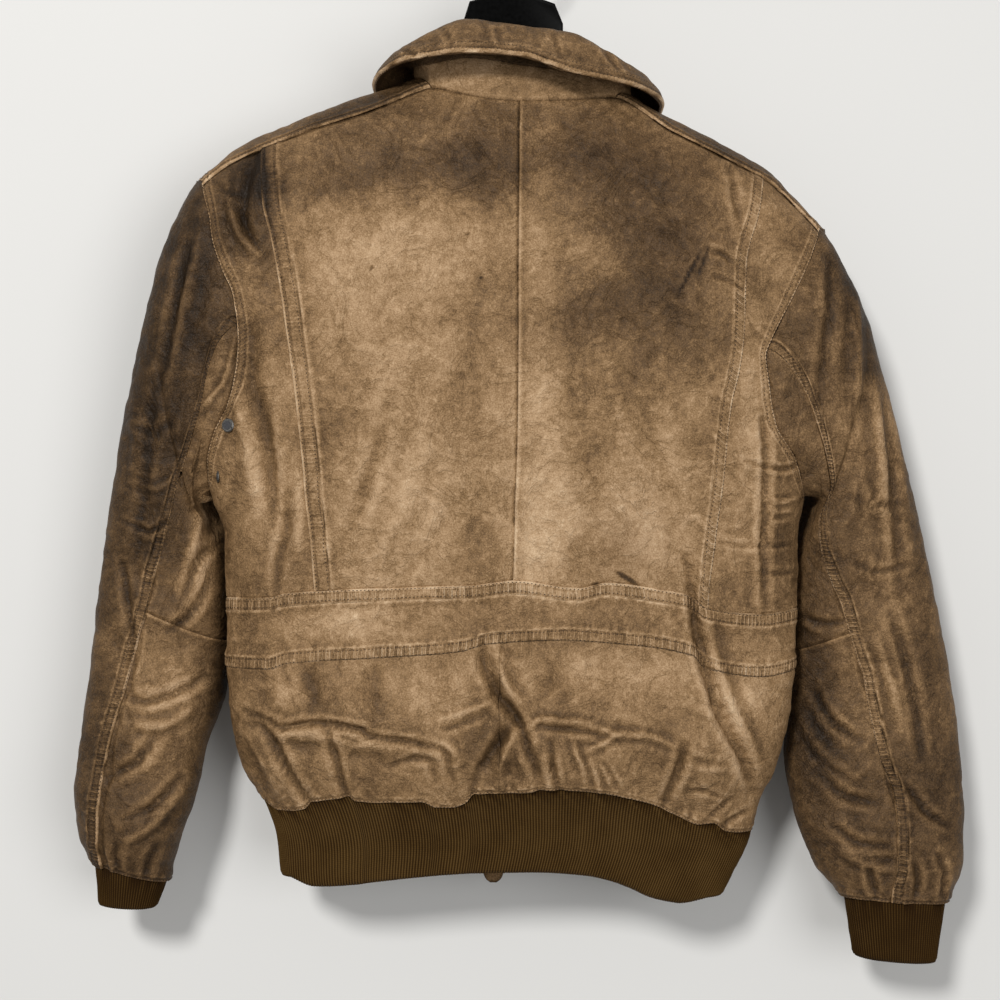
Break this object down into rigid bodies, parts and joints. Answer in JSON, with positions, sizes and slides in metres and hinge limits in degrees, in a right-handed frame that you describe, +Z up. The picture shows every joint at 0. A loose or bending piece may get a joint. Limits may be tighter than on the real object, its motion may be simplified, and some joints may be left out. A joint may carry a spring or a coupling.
{
  "type": "leather jacket on a clothes hanger",
  "caption": "Worn leather flight jacket with action-back pleats, set-in half belt, knitted hem and cuffs, front zip and shirt collar, hanging on a plastic hanger with a wire hook.",
  "frame": {"origin": "top of the inside of the hanger's hook, where it hangs on a rail or peg", "axes": "+Z up, -Y out of the jacket's back, +X towards the wearer's right"},
  "size_m": [0.758, 0.1259, 0.8978],
  "materials": {
    "leather": "worn, patchy brown, low sheen",
    "leather_dark": "darker brown, less worn",
    "leather_light": "light tan, matt",
    "rib": "dark brown rib knit",
    "hanger_plastic": "black, satin",
    "steel": "plain",
    "brass": "aged",
    "zip_tape": "brown woven tape"
  },
  "bodies": {
    "jacket": {"back_left": "leather", "back_right": "leather", "back_side_left": "leather", "back_side_right": "leather", "collar_leaf": "leather", "collar_stand": "leather_light", "cuff_left": "rib", "cuff_right": "rib", "eyelet_left_lower": "steel", "eyelet_left_upper": "steel", "eyelet_right_lower": "steel", "eyelet_right_upper": "steel", "front_left": "leather", "front_right": "leather", "half_belt": "leather", "hanger_body": "hanger_plastic", "hanger_hook": "steel", "hem_rib": "rib", "lower_back_left": "leather", "lower_back_right": "leather", "sleeve_outer_left": "leather_dark", "sleeve_outer_right": "leather", "sleeve_under_lower_left": "leather_dark", "sleeve_under_lower_right": "leather", "sleeve_under_upper_left": "leather_dark", "sleeve_under_upper_right": "leather", "under_collar": "leather_dark", "wind_flap": "leather", "zip_slider": "brass", "zip_tapes": "zip_tape", "zip_teeth": "brass"},
    "pull": {"zip_pull": "brass"}
  },
  "joints": [
    {"name": "pull_hinge", "type": "hinge", "parent": "jacket", "child": "pull", "pos_m": [0, 0.03915, -0.212], "axis": [1, 0, 0], "range_deg": [0, 150]}
  ]
}
